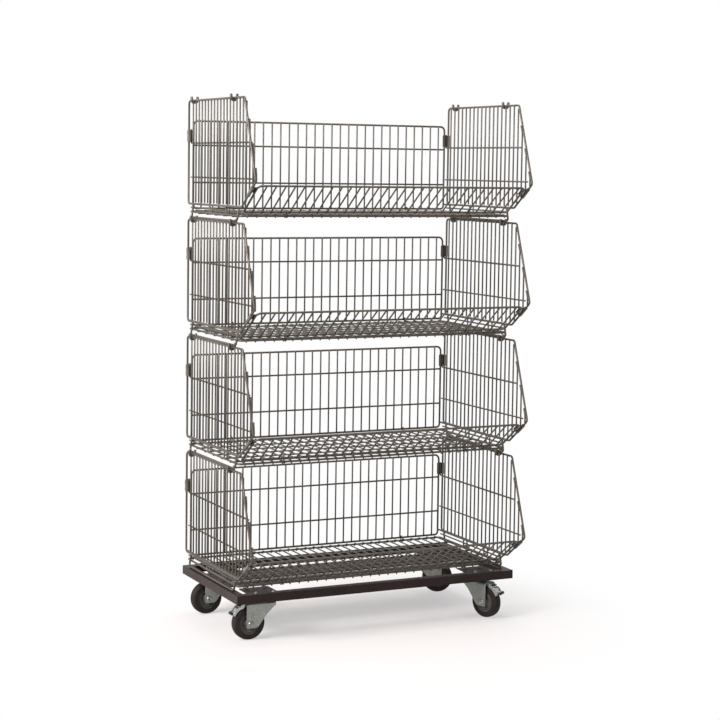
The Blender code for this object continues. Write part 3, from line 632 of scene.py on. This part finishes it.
edge = Vector((0, NOSE.x - BOTTOM_FRONT_Y, NOSE.y))
middle = Vector((0, BOTTOM_FRONT_Y, 0)) + edge.normalized() * (edge.length * LIP_SHARE - 0.027)
for side, name in ((-1, "left"), (1, "right")):
    bm = bmesh.new()
    along = edge.normalized()
    across = Vector((1, 0, 0))
    place = Matrix((across, along, across.cross(along))).transposed().to_4x4()
    place.translation = middle + Vector((side * PANEL_X, 0, 0))
    roll_up = [(side * 0.0046 * cos(t), 0.0046 * sin(t)) for t in [radians(a) for a in range(-150, 181, 15)]]
    strip(bm, roll_up, 0.0014, 0.042, place)
    tongue = [(-side * 0.0040, -0.0046), (-side * 0.0090, -0.0052), (-side * 0.0185, -0.0052),
              (-side * 0.0200, -0.0040)]
    strip(bm, flat_bend(tongue, 0.003), 0.0014, 0.026, place)
    sleeve = closed_mesh(f"lip_sleeve_{name}", bm, CLIP_ZINC_PAINTED_LIGHT_LOOK)
    for tier in range(TIERS):
        body = f"basket_{tier + 1}"
        softened(piece(f"{body}_sleeve_{name}", sleeve, body, None, (0, 0, RAIL[tier])), 0.0004)
print("clips and sleeves:", 4 * TIERS)

# %% [markdown]
# ## The casters
#
# Each caster has a top plate, a double ball race, a pressed fork, and a wheel with a rubber tyre on a
# grey hub. The fork is a channel: a flat crown and two cheeks that narrow towards the axle. It could
# be cut from a block, but a folded sheet with a thickness has the right bends, so the cheeks are
# laid out level by level and thickened with a modifier.

# %% Places of the casters
SWIVEL = {"left_front": (-0.358, -0.1277, 180.0), "right_front": (0.358, -0.1277, -70.0),
          "left_rear": (-0.358, 0.2077, 184.0), "right_rear": (0.358, 0.2077, -25.0)}
TRAIL, WHEEL_R = 0.037, 0.048
CHEEK_Y, CROWN_Z = 0.0225, 0.107


def caster_place(name):
    x, y, turn = SWIVEL[name]
    return Matrix.Translation((x, y, 0)) @ Matrix.Rotation(radians(turn), 4, "Z")


def turned(bm, profile, place, segments=32, ring=False):
    """Turn a profile of (radius, height) round an axis; a ring joins its last point to the first."""
    rows = []
    for radius, height in profile:
        if radius < 1e-6:
            rows.append([bm.verts.new(place @ Vector((0, 0, height)))] * segments)
        else:
            rows.append([bm.verts.new(place @ Vector((radius * cos(2 * pi * k / segments),
                                                      radius * sin(2 * pi * k / segments), height)))
                         for k in range(segments)])
    made = []
    pairs = list(zip(rows, rows[1:])) + ([(rows[-1], rows[0])] if ring else [])
    for a, b in pairs:
        for k in range(segments):
            corners = []
            for vert in (a[k], a[(k + 1) % segments], b[(k + 1) % segments], b[k]):
                if vert not in corners:
                    corners.append(vert)
            made.append(bm.faces.new(corners))
    for face in made:
        face.smooth = True
    bmesh.ops.recalc_face_normals(bm, faces=made)


def caster_piece(label, bm, look, name, body, node):
    """Finish a caster piece drawn about its swivel axis and put it at its caster."""
    bmesh.ops.transform(bm, matrix=caster_place(name), verts=bm.verts)
    mesh = closed_mesh(f"caster_{name}_{label}", bm, look)
    return piece(f"caster_{name}_{label}", mesh, body, node, (0, 0, 0))


# %% Forks
CHEEK_BACK = [(0.0354, 0.0460), (0.0370, 0.0485), (0.0400, 0.0500), (0.1020, 0.0500)]
CHEEK_LEAD = [(0.0354, 0.0225), (0.0366, 0.0180), (0.0395, 0.0130), (0.0520, 0.0035), (0.0650, -0.0065),
              (0.0775, -0.0165), (0.0870, -0.0265), (0.0940, -0.0350), (0.0970, -0.0400), (0.1020, -0.0410)]


def along_edge(edge, z):
    for (z0, x0), (z1, x1) in zip(edge, edge[1:]):
        if z <= z1:
            return x0 + (x1 - x0) * (z - z0) / (z1 - z0)
    return edge[-1][1]


def fork_sheet():
    """The fork's outer skin: left cheek up, over the crown, right cheek down."""
    levels = sorted({z for z, x in CHEEK_BACK + CHEEK_LEAD} | {0.0580, 0.0720, 0.0820})
    section = [(-CHEEK_Y, z) for z in levels]
    bend = 0.005
    section += [(-CHEEK_Y + bend * (1 - cos(t)), CROWN_Z - bend * (1 - sin(t)))
                for t in (pi / 8, pi / 4, 3 * pi / 8, pi / 2)]
    section += [(-y, z) for y, z in reversed(section)]
    bm = bmesh.new()
    rows = []
    for y, z in section:
        lead, back = along_edge(CHEEK_LEAD, z), along_edge(CHEEK_BACK, z)
        rows.append([bm.verts.new((lead + (back - lead) * k / 6, y, z)) for k in range(7)])
    for a, b in zip(rows, rows[1:]):
        for k in range(6):
            bm.faces.new((a[k], a[k + 1], b[k + 1], b[k])).smooth = True
    bmesh.ops.recalc_face_normals(bm, faces=bm.faces)
    return bm


RACE = [(0.0, 0.1070), (0.0255, 0.1070), (0.0290, 0.1085), (0.0300, 0.1120), (0.0285, 0.1160),
        (0.0262, 0.1172), (0.0262, 0.1186), (0.0290, 0.1200), (0.0300, 0.1235), (0.0290, 0.1270),
        (0.0240, 0.1290), (0.0, 0.1290)]
for name in SWIVEL:
    sheet = caster_piece("fork_sheet", fork_sheet(), PRESSED_LOOK, name, f"swivel_{name}",
                         f"caster_{name}_fork")
    thick = sheet.modifiers.new("sheet_thickness", "SOLIDIFY")
    thick.thickness = 0.003
    thick.offset = -1.0
    softened(sheet, 0.0007)
    bm = bmesh.new()
    turned(bm, RACE, Matrix.Identity(4), 40)
    caster_piece("ball_race", bm, PRESSED_LOOK, name, f"swivel_{name}", None)
print("forks:", len(SWIVEL))

# %% [markdown]
# ## Wheels
#
# Tyre and hub are turned: a rounded tread, a flat side with a moulded ring, then the hub's rim, a
# groove and a raised ring round the boss. The rings are what catches the light in the picture.

# %% Tyres, hubs and axles
TYRE = [(0.0315, -0.0138), (0.0322, -0.0146), (0.0334, -0.0148), (0.0342, -0.0141), (0.0375, -0.0143),
        (0.0420, -0.0142), (0.0450, -0.0130), (0.0470, -0.0105), (0.0478, -0.0070), (0.0480, 0.0)]
HUB = [(0.0062, -0.0170), (0.0122, -0.0170), (0.0130, -0.0162), (0.0132, -0.0118), (0.0150, -0.0108),
       (0.0222, -0.0108), (0.0230, -0.0126), (0.0238, -0.0132), (0.0248, -0.0132), (0.0255, -0.0124),
       (0.0262, -0.0108), (0.0290, -0.0108), (0.0298, -0.0130), (0.0306, -0.0140), (0.0314, -0.0138)]
AXLE = [(0.0, -0.0238), (0.0036, -0.0238), (0.0040, -0.0272), (0.0066, -0.0275), (0.0076, -0.0266),
        (0.0078, -0.0246), (0.0092, -0.0244), (0.0096, -0.0236), (0.0096, -0.0228),
        (0.0060, -0.0225), (0.0058, 0.0)]


def both_sides(half):
    return half + [(r, -h) for r, h in reversed(half) if abs(h) > 1e-6]


for name in SWIVEL:
    spin = Matrix.Translation((TRAIL, 0, WHEEL_R)) @ Matrix.Rotation(pi / 2, 4, "X")
    for label, profile, look, body, ring, count, slot in (
            ("tyre", TYRE, RUBBER_LOOK, "wheel", True, 56, "tyre_rubber"),
            ("hub", HUB, HUB_LOOK, "wheel", True, 48, "hub_plastic"),
            ("axle", AXLE, PRESSED_LOOK, "swivel", False, 24, "zinc_plate")):
        bm = bmesh.new()
        turned(bm, both_sides(profile), spin, count, ring)
        caster_piece(label + "_turned", bm, look, name, f"{body}_{name}", f"caster_{name}_{label}")
print("wheels:", len(SWIVEL))

# %% [markdown]
# ## Brakes
#
# The two front casters have a brake. Two bright side straps follow the tread between the cheeks,
# joined by pins, and a bent lever works between them. The lever ends in a black stub for the toe.

# %% Brake levers and plates
KNOB_LOOK, tree, shader = finish("knob_plastic_look", 0.0, 0.42)
tone = shades(tree, cloud(tree, 90.0), (0.3, (0.012, 0.011, 0.011)), (0.7, (0.024, 0.022, 0.022)))
tree.links.new(tone, shader.inputs["Base Color"])
tree.links.new(spread(tree, cloud(tree, 300.0), 0.35, 0.5), shader.inputs["Roughness"])
relief(tree, shader, cloud(tree, 900.0, 1.0), 0.2, 0.0002)
BRIGHT_LOOK, tree, shader = finish("bright_zinc_look", 0.85, 0.26)
tone = shades(tree, cloud(tree, 70.0), (0.3, (0.30, 0.315, 0.31)), (0.7, (0.46, 0.475, 0.465)))
tree.links.new(tone, shader.inputs["Base Color"])
tree.links.new(spread(tree, cloud(tree, 160.0), 0.18, 0.34), shader.inputs["Roughness"])
relief(tree, shader, cloud(tree, 700.0, 1.0), 0.15, 0.0002)

PEDAL_PIVOT = Vector((0.043, 0.0, 0.0995))
ARM_SLOPE, PAD_SLOPE = radians(10), radians(58)
BAND_R = 0.0556              # middle of the side straps from the axle
for name in ("left_front", "right_front"):
    arm, pad = [Vector((cos(a), -sin(a))) for a in (ARM_SLOPE, PAD_SLOPE)]
    knee = arm * 0.030
    at_pivot = Matrix.Translation(PEDAL_PIVOT)
    bm = bmesh.new()
    strip(bm, flat_bend([-arm * 0.004, knee, knee + pad * 0.020], 0.006), 0.0025, 0.020, at_pivot)
    for y in (-0.0092, 0.0092):
        ear = [-arm * 0.004 + Vector((0, -0.0030)), knee * 0.8 + Vector((0, -0.0034))]
        strip(bm, ear, 0.0060, 0.0016, at_pivot @ Matrix.Translation((0, y, 0)))
    turned(bm, [(0.0, -0.0193), (0.0030, -0.0193), (0.0030, 0.0193), (0.0, 0.0193)],
           at_pivot @ Matrix.Rotation(pi / 2, 4, "X"), 16)
    lever = caster_piece("brake_lever", bm, BRIGHT_LOOK, name, f"pedal_{name}",
                         f"caster_{name}_pedal")
    softened(lever, 0.0005)
    bm = bmesh.new()
    out = Vector((-pad.y, pad.x))
    root, side_step = knee + pad * 0.0215, 0.006
    stub = [root - out * 0.001, root + out * 0.006, root + out * 0.017]
    tube(bm, [at_pivot @ Vector((p.x, side_step, p.y)) for p in stub], 0.0044, 12)
    softened(caster_piece("brake_knob", bm, KNOB_LOOK, name, f"pedal_{name}", None), 0.0014)
    bm = bmesh.new()
    axle = Vector((TRAIL, WHEEL_R))
    arc = [radians(a) for a in range(80, 27, -4)]
    for y in (-0.0125, 0.0125):
        band = [axle + Vector((cos(t), sin(t))) * BAND_R for t in arc]
        strip(bm, band, 0.0090, 0.0018, Matrix.Translation((0, y, 0)))
    strip(bm, [Vector((0.041, 0.1028)), Vector((0.058, 0.1028))], 0.0016, 0.027, Matrix.Identity(4))
    for t in (0.62, 1.05):
        spot = axle + Vector((cos(t), sin(t))) * BAND_R
        pin = [(0.0, -0.0150), (0.0024, -0.0150), (0.0028, -0.0146), (0.0028, 0.0146), (0.0024, 0.0150),
               (0.0, 0.0150)]
        turned(bm, pin, Matrix.Translation((spot.x, 0, spot.y)) @ Matrix.Rotation(pi / 2, 4, "X"), 14)
    bracket = caster_piece("brake_bracket", bm, BRIGHT_LOOK, name, f"swivel_{name}", None)
    softened(bracket, 0.0004)
print("brakes: 2")

# %% [markdown]
# ## Bolts
#
# Each caster plate is held to its corner plate by four bolts, with the heads below and the nuts on
# top. They are small, but they catch the light in the dark gap over the forks.

# %% Caster bolts
HEAD = [(0.0, 0.1252), (0.0056, 0.1252), (0.0063, 0.1259), (0.0063, 0.1300), (0.0, 0.1300)]
NUT = [(0.0, 0.1366), (0.0063, 0.1366), (0.0063, 0.1406), (0.0057, 0.1413), (0.0040, 0.1413),
       (0.0040, 0.1432), (0.0034, 0.1438), (0.0, 0.1438)]
for name, (x, y, turn) in SWIVEL.items():
    bm = bmesh.new()
    for dx in (-0.027, 0.027):
        for dy in (-0.034, 0.034):
            at = Matrix.Translation((x + dx, y + dy, 0)) @ Matrix.Rotation(dx * 20 + dy * 9, 4, "Z")
            turned(bm, HEAD, at, 6)
            turned(bm, NUT, at, 6)
    for face in bm.faces:
        face.smooth = False
    mesh = closed_mesh(f"caster_{name}_bolts", bm, PRESSED_LOOK)
    piece(f"caster_{name}_bolts", mesh, "dolly", None, (0, 0, 0))
print("bolts:", 4 * len(SWIVEL))

# %% [markdown]
# ## Straps of the dolly
#
# Two wide flat straps cross the dolly under the side bars' flanges. They show as dark bands through
# the lowest floor. Each end is welded along the flange, so a bead runs there.

# %% Straps
STRAP_HALF, STRAP_Z, STRAP_WALL = 0.4467, 0.13495, 0.0035
BEAD_X, BEAD_Z, BEAD_R, BEAD_INSET = 0.4245, 0.1370, 0.0019, 0.004
STRAPS = {"front": (-0.0423, 0.0077), "rear": (0.0237, 0.1417)}
for name, (front, back) in STRAPS.items():
    bm = bmesh.new()
    middle_y = Matrix.Translation((0, (front + back) / 2, 0))
    strip(bm, [(-STRAP_HALF, STRAP_Z), (STRAP_HALF, STRAP_Z)], STRAP_WALL, back - front, middle_y)
    step = (back - front - 2 * BEAD_INSET) / 8
    for x in (-BEAD_X, BEAD_X):
        bead = [(x, front + BEAD_INSET + k * step, BEAD_Z + 0.0003 * (k % 2)) for k in range(9)]
        tube(bm, bead, BEAD_R, 7)
    mesh = closed_mesh(f"dolly_strap_{name}", bm, PAINT_LOOK)
    softened(piece(f"dolly_strap_{name}", mesh, "dolly", None, (0, 0, 0)), 0.0006)
print("straps:", len(STRAPS))

# %% [markdown]
# ## Solids that stay
#
# The dolly's bars and plates already have their true shape, so they only need softened edges and
# their paint.

# %% Dress the solids
for name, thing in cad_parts.items():
    if name.startswith("basket"):
        continue
    look = PAINT_LOOK if name.startswith("dolly") else PRESSED_LOOK
    if name.endswith("_tyre"):
        look = RUBBER_LOOK
    if name.endswith("_hub"):
        look = HUB_LOOK
    for slot in thing.material_slots:
        slot.material = look
    if name.startswith("dolly") or name.endswith("_plate"):
        edge = thing.modifiers.new("soft_edges", "BEVEL")
        edge.width = 0.0008
        edge.segments = 2
        edge.limit_method = "ANGLE"
# The clips' solids also take the clip zinc with its painted light.
for name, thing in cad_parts.items():
    if "_clip_" in name:
        for slot in thing.material_slots:
            slot.material = CLIP_ZINC_PAINTED_LIGHT_LOOK
print("solids dressed:", sum(not name.startswith("basket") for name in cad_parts))
